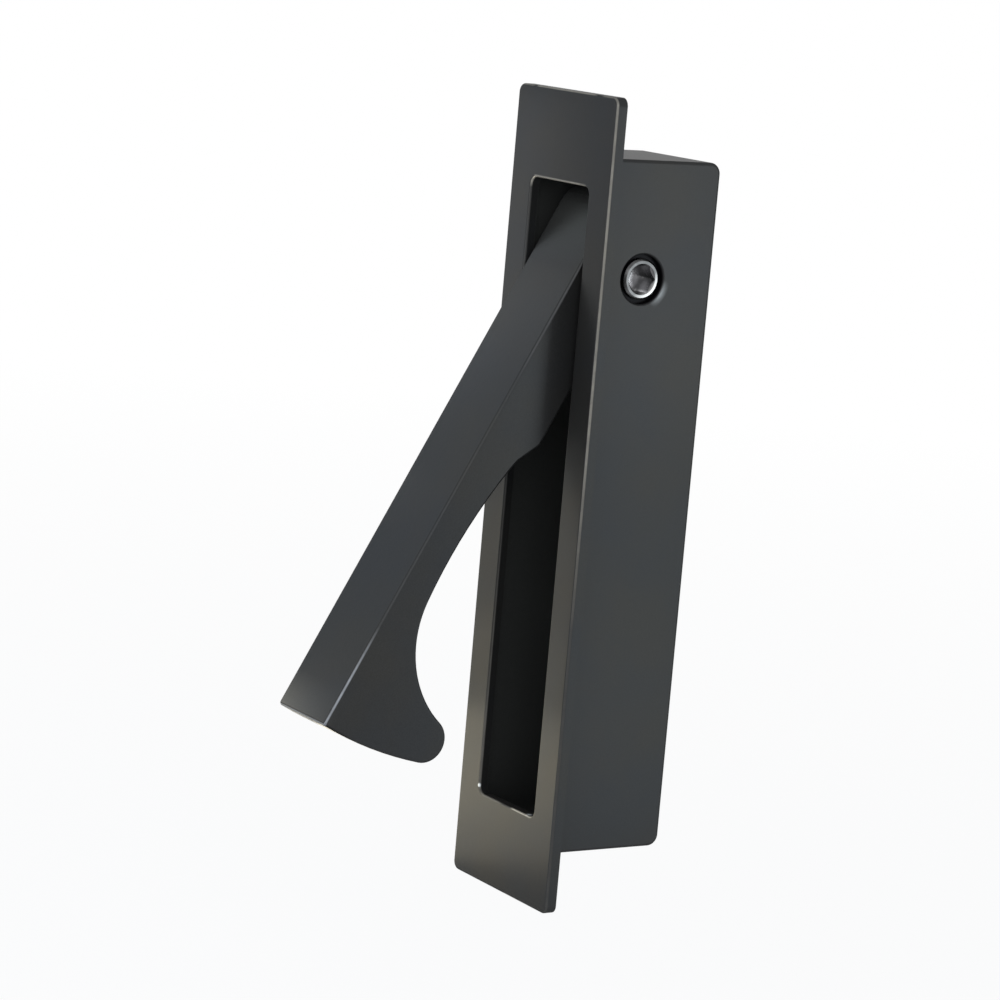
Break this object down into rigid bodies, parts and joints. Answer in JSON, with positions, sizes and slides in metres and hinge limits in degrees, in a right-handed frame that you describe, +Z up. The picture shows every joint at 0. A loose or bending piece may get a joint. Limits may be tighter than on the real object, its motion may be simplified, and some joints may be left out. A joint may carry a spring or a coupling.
{
  "type": "pocket door pull",
  "caption": "Flip-out edge pull for a sliding pocket door: a slotted faceplate and box with a hooked lever that swings out on a cross screw.",
  "frame": {"origin": "middle of the faceplate's back face, on the plane of the door's edge", "axes": "+X is right seen from the front, along the lever's pivot; +Y goes into the door; +Z is up along the faceplate"},
  "size_m": [0.0264, 0.0579, 0.12],
  "materials": {
    "satin_graphite": "satin graphite coating on investment-cast steel",
    "screw_steel": "bright nickel-plated steel",
    "bush_plastic": "matt black acetal"
  },
  "bodies": {
    "housing": {"housing": "satin_graphite", "pivot_screw": "screw_steel"},
    "lever": {"lever": "satin_graphite", "bush_right": "bush_plastic", "bush_left": "bush_plastic"}
  },
  "joints": [
    {"name": "lever_pivot", "type": "hinge", "parent": "housing", "child": "lever", "pos_m": [0, 0.0078, 0.0338], "axis": [-1, 0, 0], "range_deg": [-28.5, 61]}
  ]
}
